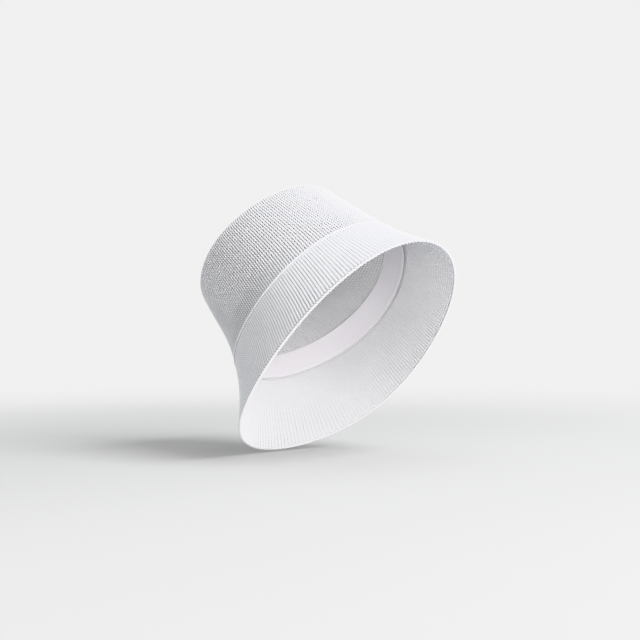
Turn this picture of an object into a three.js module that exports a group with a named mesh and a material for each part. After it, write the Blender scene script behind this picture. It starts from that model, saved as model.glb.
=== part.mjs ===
// A knitted bucket hat, tipped back as it is worn, in millimetres and degrees.
// The wearer stands upright and faces -Y, with their left hand towards +X. The origin is the centre of
// the head opening. Every piece is first laid out on the level hat, whose opening is the plane z = 0, and
// then one group tips the whole hat back about the line through the wearer's ears.
import * as THREE from "three";
import { mergeVertices } from "three/addons/utils/BufferGeometryUtils.js";

// Driving dimensions
const TIP_BACK = 45; // from level, as worn
const OPENING_LENGTH = 204; // outside the knit, forehead to nape, before the foot is rounded
const OPENING_WIDTH = 177; // outside the knit, ear to ear
const SEAM_DROOP = 9; // the opening's rim dips by this much over the ears
const CROWN_HEIGHT = 97; // opening to the flat top
const TOP_LENGTH = 170;
const TOP_WIDTH = 151;
const TOP_SHIFT = 15; // the top sits this far behind the opening
const TOP_ROUND = 10; // radius of the crown's shoulder
const BELLY = 0.01; // the wall swells by this share halfway up
const BRIM_WIDTH = 67.5; // along the brim's slope, on average from front to back
const BRIM_NARROWER_IN_FRONT = 6.5; // and as much wider at the back
const BRIM_NARROWER_AT_SIDES = 9;
const BRIM_SLOPE = 65; // below level
const SLOPE_FRONT_TO_BACK = 5.3; // steeper in front and gentler at the back
const SLOPE_SIDES = 9.5; // steeper over the ears
const FILLET = 44; // the wall and the brim bend into each other over this distance on either side

// Thicknesses
const KNIT = 1.8;
const GAP = 0.3; // between neighbouring pieces
const RIBBON = 0.7;
const LABEL = 0.4;
const THREAD = 0.5;

// Seams and edge
const SEAM_WIDTH = 2.4;
const SEAM_PROUD = 0.9; // above the knit's outer face
const TIP_SEAM_TURN = 50; // where the seam lies on the shoulder, from upright wall towards flat top
const BRIM_SEAM_RISE = 1.4; // middle of the brim's seam, above the opening
const BRIM_START = 0.6; // down the slope from the opening
const EDGE_RADIUS = 1.4; // outside of the cast-off edge
const CHANNEL_RADIUS = 0.85; // of the tunnel that the edge wire runs in
const WIRE_RADIUS = 0.4;
const JOINER_RADIUS = 0.55;
const JOINER_LENGTH = 12;

// Inside
const BAND_HEIGHT = 25;
const BAND_RISE = 0.6; // lower edge, above the opening
const BAND_OPENING = 5; // between the ribbon's ends, at the nape
const LAP_WIDTH = 22;
const STITCH_RISE = 3; // above the ribbon's lower edge
const MAKER_LABEL = { width: 46, height: 22, rise: 32 };
const CARE_LABEL = { width: 22, height: 30, rise: 28, angle: -125 };

// Facets
const AROUND = 64;
const WALL_ROWS = 3;
const FILLET_ROWS = 4;
const SHOULDER_ROWS = 3;
const TOP_ROWS = 3;
const BRIM_ROWS = 1;
const STRIP_ROWS = 3;

const radians = THREE.MathUtils.degToRad;
const lerp = THREE.MathUtils.lerp;
const BACK = Math.PI; // angles run from the front towards the wearer's left
const WALL = CROWN_HEIGHT - TOP_ROUND; // upright stretch of the crown
const TOP_START = WALL + TOP_ROUND * (Math.PI / 2); // rise at which the flat top begins
const TOP_RADIUS = TOP_WIDTH / 2 - TOP_ROUND; // half width of the flat top
const TOP_CENTRE = TOP_START + TOP_RADIUS;
const SEAM_RISE = WALL + TOP_ROUND * radians(TIP_SEAM_TURN);

const yarnWhite = new THREE.MeshStandardMaterial({ color: 0xeef0f3, roughness: 0.85, metalness: 0 });
const ribbonWhite = new THREE.MeshStandardMaterial({ color: 0xdfdfe6, roughness: 0.7, metalness: 0 });
const labelWhite = new THREE.MeshStandardMaterial({ color: 0xf4f3ef, roughness: 0.6, metalness: 0 });
const clearNylon = new THREE.MeshStandardMaterial({ color: 0xe6ebee, roughness: 0.25, metalness: 0 });
const crimpMetal = new THREE.MeshStandardMaterial({ color: 0xb8bbbf, roughness: 0.35, metalness: 1 });

// How far the opening's rim lies below its front and back.
function seamDip(angle) {
  return SEAM_DROOP * Math.sin(angle) ** 2;
}

// A point of the crown before its foot is rounded into the brim: rise is the distance up the wall, over
// the shoulder and in to the middle of the top, and depth the distance in from the outer face.
function straightCrown(angle, rise, depth) {
  const turn = THREE.MathUtils.clamp((rise - WALL) / TOP_ROUND, 0, Math.PI / 2);
  const share = Math.min(rise, WALL) / CROWN_HEIGHT;
  const spread = 1 - Math.max(rise - TOP_START, 0) / TOP_RADIUS; // 1 up to the flat top, 0 at its middle
  const belly = 1 + BELLY * 4 * share * (1 - share);
  const inset = TOP_ROUND * (1 - Math.cos(turn)) + depth * Math.cos(turn);
  const halfWidth = (lerp(OPENING_WIDTH, TOP_WIDTH, share) / 2) * belly - inset;
  const halfLength = (lerp(OPENING_LENGTH, TOP_LENGTH, share) / 2) * belly - inset;
  const height = Math.min(rise, WALL) + (TOP_ROUND - depth) * Math.sin(turn);
  return new THREE.Vector3(
    spread * halfWidth * Math.sin(angle),
    -spread * halfLength * Math.cos(angle) + TOP_SHIFT * share,
    height - seamDip(angle) * (1 - share),
  );
}

// A point of the brim before it is rounded into the crown: out is the distance down its slope from the
// opening, as on its widest line.
function straightBrim(angle, out, depth) {
  const frontToBack = SLOPE_FRONT_TO_BACK * Math.cos(angle);
  const slope = radians(BRIM_SLOPE + frontToBack - SLOPE_SIDES * Math.cos(2 * angle));
  const narrowerInFront = BRIM_NARROWER_IN_FRONT * Math.cos(angle);
  const narrowerAtSides = BRIM_NARROWER_AT_SIDES * Math.sin(angle) ** 2;
  const reach = out * (1 - (narrowerInFront + narrowerAtSides) / BRIM_WIDTH);
  const away = new THREE.Vector2(OPENING_LENGTH * Math.sin(angle), -OPENING_WIDTH * Math.cos(angle));
  const outward = away.normalize();
  const run = reach * Math.cos(slope) - depth * Math.sin(slope);
  return new THREE.Vector3(
    (OPENING_WIDTH / 2) * Math.sin(angle) + outward.x * run,
    -(OPENING_LENGTH / 2) * Math.cos(angle) + outward.y * run,
    -reach * Math.sin(slope) - depth * Math.cos(slope) - seamDip(angle),
  );
}

// How far the corner between crown and brim is filled in, at a distance from it along either of them.
function fillAt(angle, distance) {
  const left = Math.max(FILLET - distance, 0);
  const up = straightCrown(angle, 1, 0).sub(straightCrown(angle, 0, 0));
  const down = straightBrim(angle, 1, 0).sub(straightBrim(angle, 0, 0));
  return up.add(down).multiplyScalar((left * left) / (4 * FILLET));
}

function crownPoint(angle, rise, depth) {
  return straightCrown(angle, rise, depth).add(fillAt(angle, rise));
}

function brimPoint(angle, out, depth) {
  return straightBrim(angle, out, depth).add(fillAt(angle, out));
}

// Moves every vertex of a geometry to the place worked out from its x, y and z.
function reshaped(geometry, place) {
  const position = geometry.getAttribute("position");
  for (let i = 0; i < position.count; i++) {
    const p = place(position.getX(i), position.getY(i), position.getZ(i));
    position.setXYZ(i, p.x, p.y, p.z);
  }
  geometry.deleteAttribute("normal");
  geometry.deleteAttribute("uv");
  const closed = mergeVertices(geometry);
  closed.computeVertexNormals();
  return closed;
}

// A closed ring: section is its outline as pairs of distance along the fabric and depth.
function ring(section, pointAt) {
  const closed = [...section, section[0]];
  const outline = closed.map(([along, depth]) => new THREE.Vector2(OPENING_WIDTH - depth, along));
  return reshaped(new THREE.LatheGeometry(outline, AROUND), (x, y, z) =>
    pointAt(Math.atan2(x, z), y, OPENING_WIDTH - Math.hypot(x, z)),
  );
}

// A strip of ribbon, label or thread bent round the inside of the crown.
function strip({ middle, arc, rise, height, depth, thickness, steps }) {
  const box = new THREE.BoxGeometry(arc, height, thickness, steps, STRIP_ROWS, 1);
  return reshaped(box, (x, y, z) =>
    crownPoint(middle + x, rise + height / 2 + y, depth + thickness / 2 - z),
  );
}

// A round filament inside the brim's edge, bent round the arc on both sides of its middle.
function filament(middle, arc, radius, steps) {
  const rod = new THREE.CylinderGeometry(radius, radius, arc, 6, steps);
  return reshaped(rod, (x, y, z) => brimPoint(middle + y, BRIM_WIDTH - EDGE_RADIUS + x, KNIT / 2 - z));
}

// The outline of a flat fabric between two distances, as rows up one face and down the other.
function fabricSection(stops, thickness) {
  const outer = stops.map((along) => [along, 0]);
  const inner = stops.map((along) => [along, thickness]).reverse();
  return [...outer, ...inner];
}

// Evenly spaced stops from one distance to another, both ends included.
function stops(from, to, rows) {
  return Array.from({ length: rows + 1 }, (_, i) => lerp(from, to, i / rows));
}

// How fast a ring of the brim grows round the nape, in millimetres for each radian, at a level distance
// outside the opening. The crown's rings are that of no distance, less their depth.
function paceAtNape(run) {
  return OPENING_WIDTH / 2 + (OPENING_LENGTH / OPENING_WIDTH) * run;
}

function crownSide() {
  const start = BRIM_SEAM_RISE + SEAM_WIDTH / 2 + GAP;
  const end = SEAM_RISE - SEAM_WIDTH / 2 - GAP;
  const foot = stops(start, FILLET, FILLET_ROWS);
  const wall = stops(FILLET, WALL, WALL_ROWS);
  const shoulder = stops(WALL, end, SHOULDER_ROWS);
  const rows = [...foot, ...wall.slice(1), ...shoulder.slice(1)];
  return ring(fabricSection(rows, KNIT), crownPoint);
}

function crownTip() {
  const start = SEAM_RISE + SEAM_WIDTH / 2 + GAP;
  const shoulder = stops(start, TOP_START, SHOULDER_ROWS);
  const rows = [...shoulder, ...stops(TOP_START, TOP_CENTRE, TOP_ROWS).slice(1)];
  const section = fabricSection(rows, KNIT);
  const outline = section.map(([rise, depth]) => new THREE.Vector2(TOP_CENTRE - rise, -depth));
  // The disc is drawn from the middle of its underside, out round its rim and back to its top's middle.
  const fromUnderside = [...outline.slice(rows.length), ...outline.slice(0, rows.length)];
  return reshaped(new THREE.LatheGeometry(fromUnderside, AROUND), (x, y, z) =>
    crownPoint(Math.atan2(x, z), TOP_CENTRE - Math.hypot(x, z), -y),
  );
}

// A ridge of linked loops: a hexagon that stands proud of the knit's outer face, flush with its inner one.
function seam(middle) {
  const half = SEAM_WIDTH / 2;
  const section = [
    [middle - half, 0],
    [middle - half / 2, -SEAM_PROUD],
    [middle + half / 2, -SEAM_PROUD],
    [middle + half, 0],
    [middle + half, KNIT],
    [middle - half, KNIT],
  ];
  return ring(section, crownPoint);
}

function brim() {
  const end = BRIM_WIDTH - 2 * EDGE_RADIUS - GAP;
  // The slope runs downwards, so the rows are taken from the edge up to keep the faces pointing out.
  const rows = [...stops(end, FILLET, BRIM_ROWS), ...stops(FILLET, BRIM_START, FILLET_ROWS).slice(1)];
  return ring(fabricSection(rows, KNIT), brimPoint);
}

// The cast-off edge: a tube with a slot along the side that meets the brim, in which the wire lies.
function brimEdge() {
  const middle = [BRIM_WIDTH - EDGE_RADIUS, KNIT / 2];
  const around = (radius, turns) =>
    turns.map((turn) => [middle[0] - radius * Math.cos(turn), middle[1] + radius * Math.sin(turn)]);
  const turns = stops(radians(35), radians(325), 6);
  const outside = around(EDGE_RADIUS, turns);
  const inside = around(CHANNEL_RADIUS, [...turns].reverse());
  return ring([...outside, ...inside], brimPoint);
}

const napeSlope = radians(BRIM_SLOPE - SLOPE_FRONT_TO_BACK - SLOPE_SIDES);
const napeWidth = BRIM_WIDTH + BRIM_NARROWER_IN_FRONT;
const edgePace = paceAtNape(napeWidth * Math.cos(napeSlope));
const joinerArc = JOINER_LENGTH / edgePace;
const joinerGap = GAP / edgePace;

function edgeWire() {
  return filament(0, 2 * Math.PI - joinerArc - 2 * joinerGap, WIRE_RADIUS, AROUND);
}

function wireJoiner() {
  return filament(BACK, joinerArc, JOINER_RADIUS, 2);
}

const bandDepth = KNIT + GAP;
const lapDepth = bandDepth + RIBBON + GAP;
const insidePace = paceAtNape(0) - bandDepth;

function sweatband() {
  return strip({
    middle: 0,
    arc: 2 * Math.PI - BAND_OPENING / insidePace,
    rise: BAND_RISE,
    height: BAND_HEIGHT,
    depth: bandDepth,
    thickness: RIBBON,
    steps: AROUND,
  });
}

function sweatbandLap() {
  return strip({
    middle: BACK,
    arc: LAP_WIDTH / insidePace,
    rise: BAND_RISE,
    height: BAND_HEIGHT,
    depth: lapDepth,
    thickness: RIBBON,
    steps: 6,
  });
}

function sweatbandStitching() {
  return strip({
    middle: 0,
    arc: 2 * Math.PI - (LAP_WIDTH + 2 * GAP) / insidePace,
    rise: BAND_RISE + STITCH_RISE,
    height: THREAD,
    depth: lapDepth,
    thickness: THREAD,
    steps: AROUND,
  });
}

function label({ width, height, rise }, middle) {
  return strip({
    middle,
    arc: width / insidePace,
    rise,
    height,
    depth: bandDepth,
    thickness: LABEL,
    steps: 6,
  });
}

function piece(name, geometry, material) {
  const mesh = new THREE.Mesh(geometry, material);
  mesh.name = name;
  return mesh;
}

const crown = new THREE.Group();
crown.add(piece("crown_tip", crownTip(), yarnWhite));
crown.add(piece("tip_seam", seam(SEAM_RISE), yarnWhite));
crown.add(piece("crown_side", crownSide(), yarnWhite));

const brimGroup = new THREE.Group();
brimGroup.add(piece("brim_seam", seam(BRIM_SEAM_RISE), yarnWhite));
brimGroup.add(piece("brim", brim(), yarnWhite));
brimGroup.add(piece("brim_edge", brimEdge(), yarnWhite));
brimGroup.add(piece("edge_wire", edgeWire(), clearNylon));
brimGroup.add(piece("wire_joiner", wireJoiner(), crimpMetal));

const lining = new THREE.Group();
lining.add(piece("sweatband", sweatband(), ribbonWhite));
lining.add(piece("sweatband_lap", sweatbandLap(), ribbonWhite));
lining.add(piece("sweatband_stitching", sweatbandStitching(), ribbonWhite));
lining.add(piece("maker_label", label(MAKER_LABEL, BACK), labelWhite));
lining.add(piece("care_label", label(CARE_LABEL, radians(CARE_LABEL.angle)), labelWhite));

const hat = new THREE.Group();
hat.add(crown, brimGroup, lining);
hat.rotation.x = -radians(TIP_BACK);

const asWorn = new THREE.Group();
asWorn.add(hat);

export default asWorn;
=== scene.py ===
"""A white knitted bucket hat, tipped back as it is worn.

The knit is made stitch by stitch: each course is one closed ring of yarn.
"""

import math

import bpy
import numpy as np
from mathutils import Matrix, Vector


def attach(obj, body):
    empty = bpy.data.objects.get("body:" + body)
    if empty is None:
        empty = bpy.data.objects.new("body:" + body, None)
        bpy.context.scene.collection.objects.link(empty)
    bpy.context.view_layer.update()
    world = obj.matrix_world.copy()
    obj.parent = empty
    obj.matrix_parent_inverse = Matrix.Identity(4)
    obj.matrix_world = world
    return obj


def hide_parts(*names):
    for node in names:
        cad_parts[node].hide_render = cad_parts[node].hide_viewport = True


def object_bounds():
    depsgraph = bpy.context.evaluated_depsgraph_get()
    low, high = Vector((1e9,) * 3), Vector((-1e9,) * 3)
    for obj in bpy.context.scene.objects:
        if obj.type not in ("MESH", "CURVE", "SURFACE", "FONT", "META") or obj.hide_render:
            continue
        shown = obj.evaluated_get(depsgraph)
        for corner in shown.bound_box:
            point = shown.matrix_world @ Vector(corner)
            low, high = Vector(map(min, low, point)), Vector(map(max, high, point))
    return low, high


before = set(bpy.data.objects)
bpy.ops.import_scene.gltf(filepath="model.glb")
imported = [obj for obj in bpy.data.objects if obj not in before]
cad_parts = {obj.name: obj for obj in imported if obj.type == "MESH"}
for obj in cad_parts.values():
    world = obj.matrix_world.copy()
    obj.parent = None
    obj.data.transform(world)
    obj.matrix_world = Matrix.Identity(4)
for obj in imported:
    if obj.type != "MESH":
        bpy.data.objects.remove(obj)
cad_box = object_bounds()

# Driving dimensions, the same as the CAD model's, in millimetres and degrees
TIP_BACK = 45
OPENING_LENGTH = 204
OPENING_WIDTH = 177
SEAM_DROOP = 9
CROWN_HEIGHT = 97
TOP_LENGTH = 170
TOP_WIDTH = 151
TOP_SHIFT = 15
TOP_ROUND = 10
BELLY = 0.01
BRIM_WIDTH = 67.5
BRIM_NARROWER_IN_FRONT = 6.5
BRIM_NARROWER_AT_SIDES = 9
BRIM_SLOPE = 65
SLOPE_FRONT_TO_BACK = 5.3
SLOPE_SIDES = 9.5
FILLET = 44
KNIT = 1.8
RIBBON = 0.7
LABEL = 0.4
GAP = 0.3
SEAM_WIDTH = 2.4
TIP_SEAM_TURN = 50
BRIM_SEAM_RISE = 1.4
BRIM_START = 0.6
EDGE_RADIUS = 1.4
WIRE_RADIUS = 0.4
JOINER_RADIUS = 0.55
JOINER_LENGTH = 12
BAND_HEIGHT = 25
BAND_RISE = 0.6
BAND_OPENING = 5
LAP_WIDTH = 22
STITCH_RISE = 3
MAKER_LABEL = {"width": 46, "height": 22, "rise": 32}
CARE_LABEL = {"width": 22, "height": 30, "rise": 28, "angle": -125}

# The knit
WALES = 212  # stitches round the hat
CROWN_COURSE = 2.95  # from one course to the next
BRIM_COURSE = 2.4
YARN = 0.86  # diameter

# The knit stands proud over the seam and dies away from it in a wave
SEAM_SWELL = 0.45
SEAM_WAVE = 12
CROWN_FADE = 9
BRIM_FADE = 4

WALL = CROWN_HEIGHT - TOP_ROUND
TOP_START = WALL + TOP_ROUND * math.pi / 2
TOP_RADIUS = TOP_WIDTH / 2 - TOP_ROUND
TOP_CENTRE = TOP_START + TOP_RADIUS
SEAM_RISE = WALL + TOP_ROUND * math.radians(TIP_SEAM_TURN)
BAND_DEPTH = KNIT + GAP
LAP_DEPTH = BAND_DEPTH + RIBBON + GAP
EDGE_MIDDLE = BRIM_WIDTH - EDGE_RADIUS
TAU = 2 * math.pi
MM = 0.001


# ---------------------------------------------------------------- the hat's surface, in millimetres


def seam_dip(angle):
    """How far the opening's rim lies below its front and back."""
    return SEAM_DROOP * np.sin(angle) ** 2


def straight_crown(angle, rise, depth):
    """A point of the level hat's crown before its foot is rounded into the brim."""
    turn = np.clip((rise - WALL) / TOP_ROUND, 0, math.pi / 2)
    share = np.minimum(rise, WALL) / CROWN_HEIGHT
    spread = 1 - np.maximum(rise - TOP_START, 0) / TOP_RADIUS
    belly = 1 + BELLY * 4 * share * (1 - share)
    inset = TOP_ROUND * (1 - np.cos(turn)) + depth * np.cos(turn)
    half_width = (OPENING_WIDTH + (TOP_WIDTH - OPENING_WIDTH) * share) / 2 * belly - inset
    half_length = (OPENING_LENGTH + (TOP_LENGTH - OPENING_LENGTH) * share) / 2 * belly - inset
    height = np.minimum(rise, WALL) + (TOP_ROUND - depth) * np.sin(turn)
    x = spread * half_width * np.sin(angle)
    y = -spread * half_length * np.cos(angle) + TOP_SHIFT * share
    z = height - seam_dip(angle) * (1 - share)
    return np.stack(np.broadcast_arrays(x, y, z), -1)


def straight_brim(angle, out, depth):
    """A point of the level hat's brim before it is rounded into the crown."""
    lean = BRIM_SLOPE + SLOPE_FRONT_TO_BACK * np.cos(angle) - SLOPE_SIDES * np.cos(2 * angle)
    slope = np.radians(lean)
    narrower = BRIM_NARROWER_IN_FRONT * np.cos(angle) + BRIM_NARROWER_AT_SIDES * np.sin(angle) ** 2
    reach = out * (1 - narrower / BRIM_WIDTH)
    away_x = OPENING_LENGTH * np.sin(angle)
    away_y = -OPENING_WIDTH * np.cos(angle)
    size = np.hypot(away_x, away_y)
    run = reach * np.cos(slope) - depth * np.sin(slope)
    x = OPENING_WIDTH / 2 * np.sin(angle) + away_x / size * run
    y = -OPENING_LENGTH / 2 * np.cos(angle) + away_y / size * run
    z = -reach * np.sin(slope) - depth * np.cos(slope) - seam_dip(angle)
    return np.stack(np.broadcast_arrays(x, y, z), -1)


def fill_at(angle, distance):
    """How far the corner between crown and brim is filled in, at a distance along either of them."""
    left = np.maximum(FILLET - distance, 0)
    up = straight_crown(angle, 1, 0) - straight_crown(angle, 0, 0)
    down = straight_brim(angle, 1, 0) - straight_brim(angle, 0, 0)
    return (up + down) * (left * left / (4 * FILLET))[..., None]


def relaxed(p):
    """Small soft waves that a worn hat has; neighbouring pieces move together.

    Each term is a height in millimetres and sines of a coordinate over a length in millimetres.
    """
    x, y, z = p[..., 0], p[..., 1], p[..., 2]
    dx = 0.8 * np.sin(y / 31 + 0.7) * np.cos(z / 27 + 0.4) + 0.4 * np.sin(z / 15 + x / 60)
    dy = 0.7 * np.sin(x / 29 + 1.9) * np.cos(z / 33 - 0.8)
    dz = 0.6 * np.sin(x / 37 - 0.5) * np.cos(y / 41 + 1.2)
    return p + np.stack([dx, dy, dz], -1)


def placed(p):
    """Level hat in millimetres to the worn hat in metres."""
    p = relaxed(p)
    tip = math.radians(TIP_BACK)
    y = p[..., 1] * math.cos(tip) + p[..., 2] * math.sin(tip)
    z = -p[..., 1] * math.sin(tip) + p[..., 2] * math.cos(tip)
    return np.stack([p[..., 0], y, z], -1) * MM


def crown(angle, rise, depth):
    angle, rise = np.broadcast_arrays(angle, np.asarray(rise, float))
    return placed(straight_crown(angle, rise, depth) + fill_at(angle, rise))


def brim(angle, out, depth):
    angle, out = np.broadcast_arrays(angle, np.asarray(out, float))
    return placed(straight_brim(angle, out, depth) + fill_at(angle, out))


def seam_wave(distance, fade):
    """How far the knit stands proud at a distance from the seam between crown and brim."""
    return SEAM_SWELL * np.cos(TAU * distance / SEAM_WAVE) * np.exp(-distance / fade)


def knit_crown(angle, rise, depth):
    return crown(angle, rise, depth - seam_wave(np.abs(rise - BRIM_SEAM_RISE), CROWN_FADE))


def knit_brim(angle, out, depth):
    return brim(angle, out, depth - seam_wave(np.abs(out + BRIM_SEAM_RISE), BRIM_FADE))


ring_angle = np.linspace(0, TAU, 4097)
ring_step = np.hypot(
    np.diff(OPENING_WIDTH / 2 * np.sin(ring_angle)),
    np.diff(OPENING_LENGTH / 2 * np.cos(ring_angle)),
)
ring_length = np.concatenate([[0], np.cumsum(ring_step)])


def angle_at(turn):
    """The angle at a share of the way round the head opening; whole turns are allowed for."""
    whole = np.floor(turn)
    return np.interp((turn - whole) * ring_length[-1], ring_length, ring_angle) + TAU * whole


def pace_at_nape(run):
    """How fast a ring of the brim grows round the nape, in millimetres for each radian."""
    return OPENING_WIDTH / 2 + OPENING_LENGTH / OPENING_WIDTH * run


nape_slope = math.radians(BRIM_SLOPE - SLOPE_FRONT_TO_BACK - SLOPE_SIDES)
EDGE_PACE = pace_at_nape((BRIM_WIDTH + BRIM_NARROWER_IN_FRONT) * math.cos(nape_slope))
JOINER_ARC = JOINER_LENGTH / EDGE_PACE
INSIDE_PACE = pace_at_nape(0) - BAND_DEPTH

# Seam chains: radii and distances in millimetres
CHAIN_REACH = 0.75  # each strand swings this far to either side
CHAIN_DEPTH = 0.4  # the strands' middle, from the fabric's outer face
CHAIN_CROSSING = 0.25  # how far one strand passes over the other
CHAIN_STRAND = 0.39
CHAIN_COURSE = 0.8 * SEAM_WIDTH  # height of the course of rib under the chain

# The cord round the edge wire
EDGE_STRANDS = 3
EDGE_LAY = 0.95  # from the wire's middle to each strand's
EDGE_STRAND = 0.55  # radius
EDGE_SWELL = 0.4  # share that a strand's radius grows where it comes round to the rim

# The sleeve on the wire's ends
CRIMP_DEPTH = 0.16
CRIMP_PLACE = 0.5  # from the sleeve's middle, as a share of its half length
CRIMP_SPREAD = 0.12
RIM_DEPTH = 0.1
RIM_START = 0.96

# Ribbon, labels and sewing
GROSGRAIN_RIB = 1.25
GROSGRAIN_RELIEF = 0.13
SELVEDGE = 0.8
BAND_BODY = RIBBON - 0.25  # thickness between the ribs
LAP_CLOTH = 0.3
LAP_TUCK = 5
LABEL_CLOTH = 0.16
MAKER_TUCK = 6
STITCH_PITCH = 3.1
BAND_PACE = 92  # the ribbon's half length and half width, on average
STITCH_SHARE = 0.84  # of its pitch that a stitch fills
BAND_THREAD = 0.2  # radius
LABEL_THREAD = 0.16
LABEL_LIFT = 0.14  # how far a label's stitches rise and sink


# ---------------------------------------------------------------- meshes


def unit(v):
    return v / np.maximum(np.linalg.norm(v, axis=-1, keepdims=True), 1e-12)


def mesh_piece(name, vertices, quads, uvs):
    mesh = bpy.data.meshes.new(name)
    quads = np.asarray(quads, np.int32)
    mesh.vertices.add(len(vertices))
    mesh.vertices.foreach_set("co", np.asarray(vertices, np.float32).ravel())
    mesh.loops.add(quads.size)
    mesh.loops.foreach_set("vertex_index", quads.ravel())
    mesh.polygons.add(len(quads))
    mesh.polygons.foreach_set("loop_start", np.arange(len(quads), dtype=np.int32) * 4)
    mesh.polygons.foreach_set("use_smooth", np.full(len(quads), True))
    mesh.update(calc_edges=True)
    layer = mesh.uv_layers.new(name="along")
    layer.data.foreach_set("uv", np.asarray(uvs, np.float32).ravel())
    mesh.validate()
    piece = bpy.data.objects.new(name, mesh)
    bpy.context.scene.collection.objects.link(piece)
    return piece


# Painted shade for the knit's grooves: yarn is given a darker colour in step with its depth in the fabric
SHADE_START = 0.68  # yarn further in than this gets painted groove shade
SHADE_RUN = 0.35
INNER_SHADE = 0.15  # the painted shade in the inner face's grooves is this much fainter


class Yarns:
    """Round tubes that follow lines, gathered into one mesh."""

    def __init__(self, sides=4):
        self.sides = sides
        self.vertices, self.quads, self.uvs, self.painted_groove_shade = [], [], [], []
        self.count = 0

    def add(self, points, outward, radius, closed=True, level=None):
        """One tube: its points and radius in metres, and the fabric's outward direction at each point.
        level is its depth in the fabric in millimetres, or a value that stands in for it, which decides how
        much painted groove shade its colour gets."""
        n, sides = len(points), self.sides
        radius = np.broadcast_to(radius, n)[:, None, None]
        if closed:
            tangent = unit(np.roll(points, -1, 0) - np.roll(points, 1, 0))
        else:
            tangent = unit(np.gradient(points, axis=0))
        side = unit(np.cross(tangent, outward))
        out = np.cross(side, tangent)
        around = np.arange(sides) / sides * TAU
        ring = (
            points[:, None]
            + radius * np.cos(around)[None, :, None] * out[:, None]
            + radius * np.sin(around)[None, :, None] * side[:, None]
        )
        step = np.linalg.norm(np.diff(points, axis=0), axis=1)
        along = np.concatenate([[0], np.cumsum(step)]) * 1000
        i = np.arange(n if closed else n - 1)
        j = np.arange(sides)
        a = i[:, None] * sides + j[None, :]
        b = i[:, None] * sides + (j[None, :] + 1) % sides
        c = ((i[:, None] + 1) % n) * sides + (j[None, :] + 1) % sides
        d = ((i[:, None] + 1) % n) * sides + j[None, :]
        quads = np.stack([a, b, c, d], -1).reshape(-1, 4)
        v0 = along[i]
        v1 = np.append(along, along[-1] + (along[1] - along[0]))[i + 1]
        u0, u1 = j / sides, (j + 1) / sides
        uv = np.empty((len(i), sides, 4, 2))
        uv[..., 0, 0] = uv[..., 3, 0] = u0
        uv[..., 1, 0] = uv[..., 2, 0] = u1
        uv[..., 0, 1] = uv[..., 1, 1] = v0[:, None]
        uv[..., 2, 1] = uv[..., 3, 1] = v1[:, None]
        if not closed:
            # An open tube's ends are closed flat
            caps = self.caps(sides, n)
            quads = np.concatenate([quads, caps])
            uv = np.concatenate([uv.reshape(-1, 2), np.zeros((len(caps) * 4, 2))])
        self.vertices.append(ring.reshape(-1, 3))
        self.quads.append(quads + self.count)
        self.uvs.append(uv.reshape(-1, 2))
        if level is None:
            self.painted_groove_shade.append(np.zeros(n * sides))
        else:
            # Painted shade: yarn deep in the knit gets a darker colour through a per-vertex attribute,
            # fully on the side that faces outward and faintly on the inner face
            facing = 0.5 + 0.5 * np.cos(around)[None, :]
            shown = (level[:, None] - SHADE_START) / SHADE_RUN
            hidden = (KNIT - level[:, None] - SHADE_START) / SHADE_RUN
            painted_shade_share = facing * np.clip(shown, 0, 1) + (1 - facing) * np.clip(hidden, 0, 1) * INNER_SHADE
            self.painted_groove_shade.append(painted_shade_share.ravel())
        self.count += n * sides

    @staticmethod
    def caps(sides, n):
        """Quads that close a tube's two ends."""
        last = (n - 1) * sides
        bands = range(sides // 2 - 1)
        first = [[k + 1, k, sides - 1 - k, sides - 2 - k] for k in bands]
        end = [[last + k, last + k + 1, last + sides - 2 - k, last + sides - 1 - k] for k in bands]
        return np.array(first + end)

    def piece(self, name):
        made = mesh_piece(
            name, np.concatenate(self.vertices), np.concatenate(self.quads), np.concatenate(self.uvs)
        )
        # The share of painted groove shade at each vertex, for the yarn material to read
        layer = made.data.attributes.new("painted_groove_shade", "FLOAT", "POINT")
        layer.data.foreach_set("value", np.concatenate(self.painted_groove_shade).astype(np.float32))
        return made


def outward_of(surface, angle, along, depth):
    return unit(surface(angle, along, depth - 0.5) - surface(angle, along, depth + 0.5))


SEGMENTS = 12  # of yarn in one rib: a stitch on the outer face and the next on the inner face
LEAN = 1.15  # how far a stitch's two legs lean together
NARROW = -0.25  # how much closer its legs are to each other than to the next stitch's
TALL = 0.82  # half a stitch's height, in courses
SWAY = (-0.2, 0.3, 0.3)  # how the yarn passes from face to face


def stitch(ribs, tall):
    """One course of rib: position in ribs, height and depth of its yarn, from the fabric's middle."""
    step = (np.arange(ribs * SEGMENTS) + 0.5) / SEGMENTS
    t = step * 2 * TAU
    position = step + (LEAN * np.sin(2 * t) + NARROW * np.sin(t)) / (2 * TAU)
    height = tall * np.cos(t)
    depth = sum(size * np.cos((k + 0.5) * t) for k, size in enumerate(SWAY))
    return position, height, depth


def knit(name, surface, courses, pitch, direction, diameter):
    """Rings of knit; direction is 1 where heads point the way that distances grow."""
    yarns = Yarns()
    position, height, depth = stitch(WALES, TALL * pitch)
    for along in courses:
        angle = angle_at(position / WALES)
        line = along + direction * height
        level = KNIT / 2 + depth
        outward = outward_of(surface, angle, line, level)
        yarns.add(surface(angle, line, level), outward, diameter / 2 * MM, level=level)
    return yarns.piece(name)


def evenly(start, end, pitch):
    """Courses that fill a stretch, and the pitch they end up with."""
    count = round((end - start) / pitch)
    exact = (end - start) / count
    return start + (np.arange(count) + 0.5) * exact, exact


def make_crown_side():
    courses, pitch = evenly(BRIM_SEAM_RISE + SEAM_WIDTH / 2, SEAM_RISE - SEAM_WIDTH / 2, CROWN_COURSE)
    return knit("crown_side_knit", knit_crown, courses, pitch, 1, YARN)


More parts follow.
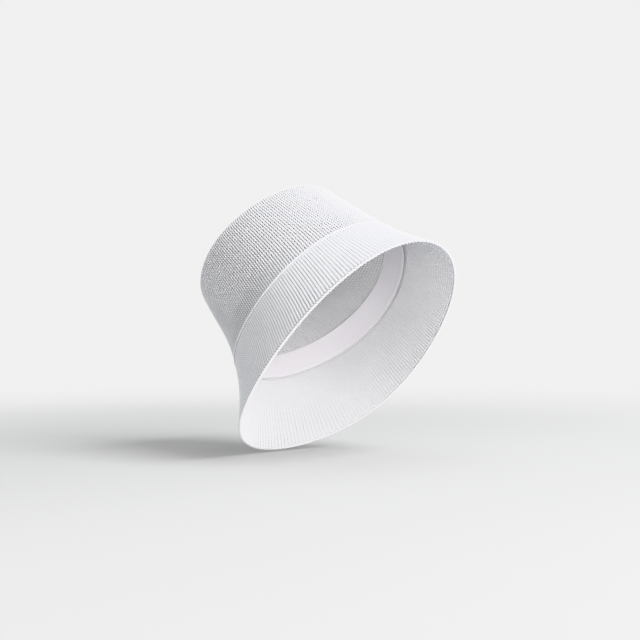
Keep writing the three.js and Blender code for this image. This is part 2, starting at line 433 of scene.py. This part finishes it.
def make_brim():
    courses, pitch = evenly(BRIM_START, BRIM_WIDTH - 2 * EDGE_RADIUS, BRIM_COURSE)
    return knit("brim_knit", knit_brim, courses, pitch, -1, YARN * 1.1)


SECTORS = 8
CENTRE_HOLE = 2.2  # radius of the hole that the last round leaves
WALE = 2.75  # from one wale to the next on the crown's top


def make_crown_tip():
    """The flat top: rounds of knit whose wales run side by side in each of eight sectors."""
    yarns = Yarns()
    courses, pitch = evenly(SEAM_RISE + SEAM_WIDTH / 2, TOP_CENTRE - CENTRE_HOLE, CROWN_COURSE)
    for rise in courses:
        radius = TOP_CENTRE - rise
        stitches = SECTORS * max(1, round(radius * TAU / SECTORS / WALE))
        position, height, depth = stitch(stitches, TALL * pitch)
        angle = angle_at(position / stitches)
        line = rise + height
        level = KNIT / 2 + depth
        outward = outward_of(crown, angle, line, level)
        yarns.add(crown(angle, line, level), outward, YARN / 2 * MM, level=level)
    # The yarn's end is drawn through the last round and crosses the hole in the middle, each time deeper
    for k in range(SECTORS // 2):
        across = np.linspace(-1, 1, 12)
        angle = math.pi * (2 * k / SECTORS) + np.where(across > 0, 0, math.pi)
        line = TOP_CENTRE - np.abs(across) * (CENTRE_HOLE + 1)
        level = 0.3 + 0.9 * across**2 + 0.15 * k
        points = crown(angle, line, level)
        yarns.add(points, outward_of(crown, angle, line, level), YARN / 2 * MM, closed=False)
    return yarns.piece("crown_tip_knit")


def make_seam(name, surface, along):
    """Linked loops: two strands that cross once in each wale, over a course of the rib."""
    yarns = Yarns(sides=5)
    step = np.arange(WALES * 6) / 6
    angle = angle_at(step / WALES)
    for side in (1, -1):
        line = along + side * CHAIN_REACH * np.cos(math.pi * step)
        under = side * np.sin(math.pi * step)
        level = CHAIN_DEPTH + CHAIN_CROSSING * under
        # Painted shade: each strand gets a darker colour where it passes under the other
        painted_shade_level = SHADE_START + SHADE_RUN * under
        outward = outward_of(surface, angle, line, level)
        yarns.add(surface(angle, line, level), outward, CHAIN_STRAND * MM, level=painted_shade_level)
    position, height, depth = stitch(WALES, CHAIN_COURSE)
    angle = angle_at(position / WALES)
    line, level = along + height, KNIT / 2 + depth
    outward = outward_of(surface, angle, line, level)
    yarns.add(surface(angle, line, level), outward, YARN / 2 * MM, level=level)
    return yarns.piece(name)


def make_brim_edge():
    """A cord of three strands laid round the edge wire, one bulge of it to each wale."""
    yarns = Yarns(sides=6)
    step = np.arange(WALES * EDGE_STRANDS * 4) / 4
    angle = angle_at(step / WALES)
    twist = TAU * step / EDGE_STRANDS
    line = EDGE_MIDDLE + EDGE_LAY * np.cos(twist)
    level = KNIT / 2 + EDGE_LAY * np.sin(twist)
    # Each strand swells where it comes round to the rim, and has painted shade where it goes back, which
    # leaves a row of light bulges along the rim
    radius = EDGE_STRAND * (0.85 + EDGE_SWELL * np.cos(twist))
    painted_shade_level = SHADE_START + SHADE_RUN * (1.4 - 1.6 * np.cos(twist))
    outward = outward_of(brim, angle, line, level)
    yarns.add(brim(angle, line, level), outward, radius * MM, level=painted_shade_level)
    return yarns.piece("brim_edge_cord")


# ---------------------------------------------------------------- the wire in the edge


def along_edge(middle, arc, steps):
    """The line of the edge wire: its points and outward directions."""
    angle = middle + np.linspace(-arc / 2, arc / 2, steps)
    return brim(angle, EDGE_MIDDLE, KNIT / 2), outward_of(brim, angle, EDGE_MIDDLE, KNIT / 2)


def make_edge_wire():
    yarns = Yarns(sides=8)
    points, outward = along_edge(0, TAU - JOINER_ARC - 2 * GAP / EDGE_PACE, 700)
    yarns.add(points, outward, WIRE_RADIUS * MM, closed=False)
    return yarns.piece("edge_wire_filament")


def make_wire_joiner():
    """A sleeve squeezed in two places on to the wire's ends, with its rims rolled in."""
    yarns = Yarns(sides=16)
    points, outward = along_edge(math.pi, JOINER_ARC, 61)
    share = np.linspace(-1, 1, 61)
    places = (-CRIMP_PLACE, CRIMP_PLACE)
    crimped = CRIMP_DEPTH * sum(np.exp(-(((share - place) / CRIMP_SPREAD) ** 2)) for place in places)
    rim = RIM_DEPTH * np.clip((np.abs(share) - RIM_START) / (1 - RIM_START), 0, 1)
    yarns.add(points, outward, (JOINER_RADIUS - crimped - rim) * MM, closed=False)
    return yarns.piece("wire_joiner_sleeve")


# ---------------------------------------------------------------- ribbon, labels and stitches


def cloth_strip(name, path, across, place, thickness, relief=None):
    """A thin closed strip: path is its middle line as distance and depth; place gives the point for
    a distance, a position across the strip and a depth."""
    distance, depth = path
    run = np.stack([np.gradient(distance), np.gradient(depth)], -1)
    run = unit(run)
    half = np.full((len(distance), len(across)), thickness / 2)
    if relief is not None:
        half = half + relief(distance[:, None], across[None, :])
    faces = []
    for side in (1, -1):
        d = distance[:, None] - side * half * run[:, 1:2]
        level = depth[:, None] + side * half * run[:, 0:1]
        faces.append(place(d, np.broadcast_to(across, d.shape), level))
    section = np.concatenate([faces[0], faces[1][:, ::-1]], 1)
    n, m = section.shape[:2]
    i, j = np.arange(n - 1)[:, None], np.arange(m)[None, :]
    following = (j + 1) % m
    quads = np.stack([i * m + j, i * m + following, (i + 1) * m + following, (i + 1) * m + j], -1)
    caps = Yarns.caps(m, n)
    quads = np.concatenate([quads.reshape(-1, 4), caps])
    flat = np.empty((n, m, 2))
    flat[..., 0] = np.concatenate([across, across[::-1]])
    flat[..., 1] = distance[:, None]
    return mesh_piece(name, section.reshape(-1, 3), quads, flat.reshape(-1, 2)[quads.ravel()])


def round_inside(middle, pace):
    """Places a strip round the inside of the crown: distance is along the ring, across is rise."""

    def place(distance, across, depth):
        return crown(middle + distance / pace, across, depth)

    return place


def folded_path(width, tuck, depth, bend):
    """A strip's middle line with both ends folded under: bend is the radius of the folds."""
    turn = np.linspace(0, math.pi, 9)
    half = width / 2 - bend
    start = np.linspace(-half + tuck, -half, 5)[:-1]
    middle = np.linspace(-half, half, 41)[1:-1]
    end = np.linspace(half, half - tuck, 5)[1:]
    distance = np.concatenate([start, -half - bend * np.sin(turn), middle, half + bend * np.sin(turn), end])
    level = np.concatenate(
        [
            np.full(len(start), depth - 2 * bend),
            depth - bend - bend * np.cos(turn),
            np.full(len(middle), depth),
            depth - bend + bend * np.cos(turn),
            np.full(len(end), depth - 2 * bend),
        ]
    )
    return distance, level


def path_length(path):
    return np.hypot(np.diff(path[0]), np.diff(path[1])).sum()


def close_ended(low, high, count):
    """Evenly spaced values with one more close to either end, so that a strip's rims look crisp."""
    return np.concatenate([[low, low + 0.12], np.linspace(low, high, count)[1:-1], [high - 0.12, high]])


def grosgrain_relief(distance, across):
    """Ribs across the ribbon, with a plain selvedge at each side."""
    selvedge = np.clip(np.minimum(across - BAND_RISE, BAND_RISE + BAND_HEIGHT - across) / SELVEDGE, 0, 1)
    return GROSGRAIN_RELIEF * (np.cos(TAU * distance / GROSGRAIN_RIB) - 0.3) * selvedge


BAND_ROWS = BAND_RISE + BAND_HEIGHT * np.array([0, 0.02, 0.045, 0.12, 0.3, 0.5, 0.7, 0.88, 0.955, 0.98, 1])


def make_sweatband():
    """The ribbon follows the ring's true length, so that its ribs stay even."""
    arc = TAU - BAND_OPENING / INSIDE_PACE
    fine = np.linspace(-arc / 2, arc / 2, 2001)
    line = crown(fine, BAND_RISE + BAND_HEIGHT / 2, BAND_DEPTH)
    length = np.concatenate([[0], np.cumsum(np.linalg.norm(np.diff(line, axis=0), axis=1))]) / MM
    steps = int(length[-1] / GROSGRAIN_RIB * 4)
    distance = np.linspace(0, length[-1], steps)

    def place(distance, across, depth):
        return crown(np.interp(distance, length, fine), across, depth)

    path = (distance, np.full(steps, BAND_DEPTH + RIBBON / 2))
    made = cloth_strip("sweatband_ribbon", path, BAND_ROWS, place, BAND_BODY, grosgrain_relief)
    return made, length[-1]


def make_lap():
    path = folded_path(LAP_WIDTH, LAP_TUCK, LAP_DEPTH + RIBBON - LAP_CLOTH / 2, 0.24)
    place = round_inside(math.pi, INSIDE_PACE)
    return cloth_strip("sweatband_lap_ribbon", path, BAND_ROWS, place, LAP_CLOTH), path_length(path)


def add_stitch(yarns, start, end, depth, lift, radius):
    """A short stitch between two points given as angle and rise; its ends dive into the cloth."""
    t = np.linspace(0, 1, 7)
    angle = start[0] + (end[0] - start[0]) * t
    rise = start[1] + (end[1] - start[1]) * t
    level = depth + lift * (2 * np.sin(math.pi * t) ** 0.6 - 1)
    yarns.add(crown(angle, rise, level), outward_of(crown, angle, rise, level), radius * MM, closed=False)


def make_band_stitching():
    yarns = Yarns(sides=6)
    arc = TAU - (LAP_WIDTH + 2 * GAP) / INSIDE_PACE
    count = round(arc * BAND_PACE / STITCH_PITCH)
    middles = (np.arange(count) + 0.5) * arc / count - arc / 2
    half = arc / count * STITCH_SHARE / 2
    rise = BAND_RISE + STITCH_RISE + 0.25
    for middle in middles:
        start, end = (middle - half, rise - 0.12), (middle + half, rise + 0.12)
        add_stitch(yarns, start, end, LAP_DEPTH - 0.1, 0.2, BAND_THREAD)
    return yarns.piece("sweatband_stitches")


def make_maker_label():
    """A blank woven label, its ends folded under and sewn down."""
    path = folded_path(MAKER_LABEL["width"], MAKER_TUCK, BAND_DEPTH + LABEL - 0.1, 0.11)
    across = MAKER_LABEL["rise"] + close_ended(0, MAKER_LABEL["height"], 12)
    place = round_inside(math.pi, INSIDE_PACE)
    return cloth_strip("maker_label_cloth", path, across, place, LABEL_CLOTH), path_length(path)


def make_maker_label_stitches():
    """Two rows of stitches, one up each end of the label."""
    label = MAKER_LABEL
    yarns = Yarns(sides=6)
    for side in (-1, 1):
        angle = math.pi + side * (label["width"] / 2 - 1.6) / INSIDE_PACE
        edges = label["rise"] + np.linspace(0.8, label["height"] - 0.8, 10)
        for low, high in zip(edges[:-1], edges[1:]):
            start, end = (angle, low + 0.3), (angle, high - 0.3)
            add_stitch(yarns, start, end, BAND_DEPTH + LABEL, LABEL_LIFT, LABEL_THREAD)
    return yarns.piece("maker_label_stitches")


def make_care_label():
    """A blank satin tape, sewn along its top; its free end curls off the knit."""
    label = CARE_LABEL
    top = label["rise"] + label["height"]
    distance = close_ended(0, label["height"], 31)
    curl = 1.6 * np.clip(distance / label["height"] - 0.35, 0, 1) ** 2
    depth = BAND_DEPTH + LABEL / 2 + curl
    across = close_ended(-label["width"] / 2, label["width"] / 2, 12)
    middle = math.radians(label["angle"])

    def place(distance, across, depth):
        wave = 0.25 * np.sin(across / 3.1) * np.clip(distance / label["height"] - 0.3, 0, 1)
        return crown(middle + across / INSIDE_PACE, top - distance, depth + wave)

    return cloth_strip("care_label_tape", (distance, depth), across, place, LABEL_CLOTH)


def make_care_label_stitches():
    """One row of stitches along the tape's top."""
    label = CARE_LABEL
    yarns = Yarns(sides=6)
    edges = np.linspace(-0.46, 0.46, 9) * label["width"] / INSIDE_PACE + math.radians(label["angle"])
    rise = label["rise"] + label["height"] - 1.5
    for low, high in zip(edges[:-1], edges[1:]):
        start, end = (low + 0.004, rise), (high - 0.004, rise)
        add_stitch(yarns, start, end, BAND_DEPTH + LABEL, LABEL_LIFT, LABEL_THREAD)
    return yarns.piece("care_label_stitches")


# ---------------------------------------------------------------- materials


def colour(r, g, b):
    return (r, g, b, 1)


class Look:
    """A material made of nodes, with short calls for the nodes that these looks share."""

    def __init__(self, name, base, roughness, **settings):
        self.material = bpy.data.materials.new(name)
        self.material.use_nodes = True
        self.tree = self.material.node_tree
        self.shader = self.tree.nodes["Principled BSDF"]
        self.base = base
        self.set(Base_Color=base, Roughness=roughness, **settings)

    def set(self, **settings):
        """Gives the shader's sockets a value or joins them to another node's output."""
        for socket, value in settings.items():
            self.join(value, self.shader.inputs[socket.replace("_", " ")])

    def join(self, value, socket):
        if isinstance(value, bpy.types.NodeSocket):
            self.tree.links.new(value, socket)
        else:
            socket.default_value = value

    def math(self, operation, *values):
        node = self.tree.nodes.new("ShaderNodeMath")
        node.operation = operation
        for value, socket in zip(values, node.inputs):
            self.join(value, socket)
        return node.outputs[0]

    def along(self):
        """The piece's own lengthwise map: round or across it, and along it in millimetres."""
        place = self.tree.nodes.new("ShaderNodeUVMap")
        place.uv_map = "along"
        parts = self.tree.nodes.new("ShaderNodeSeparateXYZ")
        self.tree.links.new(place.outputs["UV"], parts.inputs[0])
        return parts.outputs["X"], parts.outputs["Y"]

    def noise(self, scale, detail=2.0):
        """Noise in the object's own space; scale counts the patches in a metre."""
        place = self.tree.nodes.new("ShaderNodeTexCoord")
        node = self.tree.nodes.new("ShaderNodeTexNoise")
        node.inputs["Scale"].default_value = scale
        node.inputs["Detail"].default_value = detail
        self.tree.links.new(place.outputs["Object"], node.inputs["Vector"])
        return node.outputs["Fac"]

    def waves(self, phase):
        """From 0 to 1 and back for each whole number that phase passes."""
        return self.math("MULTIPLY_ADD", self.math("SINE", self.math("MULTIPLY", phase, TAU)), 0.5, 0.5)

    def spread(self, value, low, high):
        """Stretches what runs from 0 to 1 so that it runs from low to high."""
        return self.math("ADD", self.math("MULTIPLY", value, high - low), low)

    def blend(self, share, first, second):
        node = self.tree.nodes.new("ShaderNodeMix")
        node.data_type = "RGBA"
        self.join(share, node.inputs["Factor"])
        self.join(first, node.inputs["A"])
        self.join(second, node.inputs["B"])
        return node.outputs["Result"]

    def darker(self, share):
        return colour(*(c * share for c in self.base[:3]))

    def bump(self, height, distance, strength=1.0):
        node = self.tree.nodes.new("ShaderNodeBump")
        node.inputs["Distance"].default_value = distance
        node.inputs["Strength"].default_value = strength
        self.tree.links.new(height, node.inputs["Height"])
        self.tree.links.new(node.outputs["Normal"], self.shader.inputs["Normal"])


def yarn(name, base, shade, plies=2, twist=1.5, glow=0.35):
    """Matt spun yarn. Where it lies in a groove of the knit, its colour is darkened to shade, a share of
    its own, as painted shade for the groove; twist is the length of one ply's turn in millimetres, and glow
    is the share of light it lets in."""
    look = Look(name, base, 0.8, Sheen_Weight=0.25, Sheen_Roughness=0.5)
    look.set(Subsurface_Weight=glow, Subsurface_Radius=(1, 1, 1), Subsurface_Scale=0.0012)
    round_it, along_it = look.along()
    painted_groove_shade = look.tree.nodes.new("ShaderNodeAttribute")
    painted_groove_shade.attribute_name = "painted_groove_shade"
    turns = look.math("DIVIDE", along_it, twist)
    plied = look.waves(look.math("ADD", look.math("MULTIPLY", round_it, plies), turns))
    fibres = look.noise(4200, 3)
    patches = look.noise(70, 3)
    # Painted shade: yarn deep in the knit's grooves takes a darker colour
    painted_shade_colour = look.blend(painted_groove_shade.outputs["Fac"], base, look.darker(shade))
    uneven = look.blend(look.spread(patches, 0, 0.09), painted_shade_colour, look.darker(0.6))
    look.set(Base_Color=look.blend(look.spread(fibres, 0, 0.12), uneven, look.darker(0.55)))
    look.set(Roughness=look.spread(fibres, 0.68, 0.92))
    look.bump(look.math("ADD", plied, look.math("MULTIPLY", fibres, 0.8)), 0.00008, 0.7)
    return look.material


def grosgrain():
    look = Look("grosgrain", colour(0.80, 0.79, 0.83), 0.55, Sheen_Weight=0.3, Sheen_Roughness=0.4)
    across, along_it = look.along()
    # Painted shade: the colour darkens once in each rib, standing in for the shade in the valleys between
    # the ribs
    ribs = look.waves(look.math("DIVIDE", along_it, GROSGRAIN_RIB))
    warp = look.waves(look.math("DIVIDE", across, 0.32))
    fibres = look.noise(3500, 3)
    rib_painted_shade = look.blend(look.spread(ribs, 0, 0.35), look.base, look.darker(0.72))
    look.set(Base_Color=look.blend(look.spread(fibres, 0, 0.2), rib_painted_shade, look.darker(0.7)))
    look.set(Roughness=look.spread(fibres, 0.45, 0.7))
    look.bump(look.math("ADD", warp, fibres), 0.00006, 0.6)
    return look.material


def satin():
    look = Look("label_satin", colour(0.87, 0.86, 0.83), 0.35, Sheen_Weight=0.15, Anisotropic=0.5)
    across, along_it = look.along()
    floats = look.waves(look.math("DIVIDE", across, 0.22))
    offset = look.math("FLOOR", look.math("DIVIDE", across, 0.22))
    stepped = look.math("MULTIPLY", offset, 0.37)
    binding = look.waves(look.math("ADD", look.math("DIVIDE", along_it, 0.9), stepped))
    fibres = look.noise(2600, 3)
    look.set(Base_Color=look.blend(look.spread(binding, 0, 0.25), look.base, look.darker(0.82)))
    look.set(Roughness=look.spread(fibres, 0.3, 0.5))
    look.bump(look.math("ADD", floats, look.math("MULTIPLY", binding, 0.6)), 0.00004, 0.6)
    return look.material


def nylon():
    look = Look("nylon", colour(0.88, 0.90, 0.92), 0.15, Transmission_Weight=0.6, IOR=1.53)
    drawn = look.noise(900, 2)
    look.set(Roughness=look.spread(drawn, 0.08, 0.28))
    look.set(Base_Color=look.blend(look.spread(drawn, 0, 0.3), look.base, look.darker(0.85)))
    look.bump(drawn, 0.00002, 0.3)
    return look.material


def crimp():
    look = Look("crimp", colour(0.75, 0.76, 0.78), 0.35, Metallic=1.0)
    round_it, along_it = look.along()
    drawn = look.waves(look.math("MULTIPLY", round_it, 24))
    stains = look.noise(700, 4)
    look.set(Base_Color=look.blend(look.spread(stains, 0, 0.6), look.base, colour(0.50, 0.49, 0.47)))
    look.set(Roughness=look.spread(stains, 0.25, 0.55))
    look.bump(look.math("ADD", drawn, stains), 0.00002, 0.4)
    return look.material


YARN_WHITE = colour(0.905, 0.912, 0.94)
# Each yarn's shade sets how dark its painted groove shade is
crown_yarn = yarn("crown_yarn", YARN_WHITE, shade=0.08)
brim_yarn = yarn("brim_yarn", YARN_WHITE, shade=0.35, glow=0.15)
seam_yarn = yarn("seam_yarn", YARN_WHITE, shade=0.45, plies=3)
edge_yarn = yarn("edge_yarn", YARN_WHITE, shade=0.35, plies=3, glow=0.15)
sewing_thread = yarn("sewing_thread", colour(0.85, 0.85, 0.86), shade=1, plies=3, twist=0.6)
grosgrain_ribbon = grosgrain()
label_satin = satin()


# ---------------------------------------------------------------- the pieces


def belongs(piece, node, look):
    piece.data.materials.append(look)
    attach(piece, "root")
    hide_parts(node)
    return piece


belongs(make_crown_side(), "crown_side", crown_yarn)
belongs(make_crown_tip(), "crown_tip", crown_yarn)
belongs(make_brim(), "brim", brim_yarn)
belongs(make_seam("tip_seam_chain", crown, SEAM_RISE), "tip_seam", seam_yarn)
belongs(make_seam("brim_seam_chain", knit_crown, BRIM_SEAM_RISE), "brim_seam", seam_yarn)
belongs(make_brim_edge(), "brim_edge", edge_yarn)
belongs(make_edge_wire(), "edge_wire", nylon())
belongs(make_wire_joiner(), "wire_joiner", crimp())

band, band_length = make_sweatband()
belongs(band, "sweatband", grosgrain_ribbon)

lap, lap_length = make_lap()
belongs(lap, "sweatband_lap", grosgrain_ribbon)

belongs(make_band_stitching(), "sweatband_stitching", sewing_thread)

maker, maker_length = make_maker_label()
belongs(maker, "maker_label", label_satin)
maker_stitches = belongs(make_maker_label_stitches(), "maker_label", sewing_thread)

care = belongs(make_care_label(), "care_label", label_satin)
care_stitches = belongs(make_care_label_stitches(), "care_label", sewing_thread)

# ---------------------------------------------------------------- floor, light and camera

low = cad_box[0]
FLOOR = low.z - 0.0015
BACKGROUND = 1.05


def make_floor():
    floor_mesh = bpy.data.meshes.new("floor")
    reach = 9.0
    floor_mesh.from_pydata(
        [(-reach, -reach, FLOOR), (reach, -reach, FLOOR), (reach, reach, FLOOR), (-reach, reach, FLOOR)],
        [],
        [(0, 1, 2, 3)],
    )
    floor = bpy.data.objects.new("floor", floor_mesh)
    bpy.context.scene.collection.objects.link(floor)
    look = Look("floor", colour(0.43, 0.43, 0.425), 0.9)
    tree = look.tree
    # Near the hat the floor is lit; further out it fades into the background
    place = tree.nodes.new("ShaderNodeTexCoord")
    distance = tree.nodes.new("ShaderNodeVectorMath")
    distance.operation = "LENGTH"
    fade = tree.nodes.new("ShaderNodeMapRange")
    fade.interpolation_type = "SMOOTHSTEP"
    fade.inputs["From Min"].default_value = 0.3
    fade.inputs["From Max"].default_value = 1.3
    glow = tree.nodes.new("ShaderNodeEmission")
    glow.inputs["Color"].default_value = colour(BACKGROUND, BACKGROUND, BACKGROUND * 0.998)
    mix = tree.nodes.new("ShaderNodeMixShader")
    tree.links.new(place.outputs["Object"], distance.inputs[0])
    tree.links.new(distance.outputs["Value"], fade.inputs["Value"])
    tree.links.new(fade.outputs["Result"], mix.inputs[0])
    tree.links.new(look.shader.outputs[0], mix.inputs[1])
    tree.links.new(glow.outputs[0], mix.inputs[2])
    tree.links.new(mix.outputs[0], tree.nodes["Material Output"].inputs[0])
    floor.data.materials.append(look.material)


def make_world():
    world = bpy.data.worlds.new("studio")
    world.use_nodes = True
    tree = world.node_tree
    seen = tree.nodes["Background"]
    seen.inputs["Color"].default_value = colour(1, 1, 0.998)
    seen.inputs["Strength"].default_value = BACKGROUND
    lit = tree.nodes.new("ShaderNodeBackground")
    lit.inputs["Color"].default_value = colour(0.98, 0.99, 1)
    lit.inputs["Strength"].default_value = 0.92
    path = tree.nodes.new("ShaderNodeLightPath")
    mix = tree.nodes.new("ShaderNodeMixShader")
    tree.links.new(path.outputs["Is Camera Ray"], mix.inputs[0])
    tree.links.new(lit.outputs[0], mix.inputs[1])
    tree.links.new(seen.outputs[0], mix.inputs[2])
    tree.links.new(mix.outputs[0], tree.nodes["World Output"].inputs[0])
    bpy.context.scene.world = world


CAMERA_AZIMUTH = -44.26
CAMERA_DISTANCE = 1.1607
CAMERA_DROP = 0.0152
turned = math.radians(CAMERA_AZIMUTH)
to_camera = Vector((math.sin(turned), -math.cos(turned), 0))
to_right = Vector((math.cos(turned), math.sin(turned), 0))
up = Vector((0, 0, 1))


def softbox(name, right, near, high, size, power, tint=(1, 1, 1)):
    """A square area light that faces the hat."""
    light = bpy.data.lights.new(name, "AREA")
    light.shape = "SQUARE"
    light.size = size
    light.energy = power
    light.color = tint
    holder = bpy.data.objects.new(name, light)
    holder.location = to_right * right + to_camera * near + up * high
    holder.rotation_mode = "QUATERNION"
    holder.rotation_quaternion = (-holder.location).to_track_quat("-Z", "Y")
    bpy.context.scene.collection.objects.link(holder)


def make_camera():
    data = bpy.data.cameras.new("camera")
    data.sensor_width = 36
    data.lens = 67.5
    camera = bpy.data.objects.new("camera", data)
    # Level, and aimed a little beside the head opening's centre
    aside = -0.00193
    camera.location = to_camera * CAMERA_DISTANCE + to_right * aside - up * CAMERA_DROP
    camera.rotation_mode = "QUATERNION"
    camera.rotation_quaternion = (-to_camera).to_track_quat("-Z", "Y")
    bpy.context.scene.collection.objects.link(camera)
    bpy.context.scene.camera = camera


make_floor()
make_world()
softbox("key", right=1.3, near=0.9, high=1.5, size=1.3, power=74, tint=(0.97, 0.975, 1))
softbox("fill", right=0.7, near=1.4, high=-0.1, size=1.0, power=34, tint=(1, 0.945, 0.91))
make_camera()
bpy.context.scene.view_settings.view_transform = "Khronos PBR Neutral"
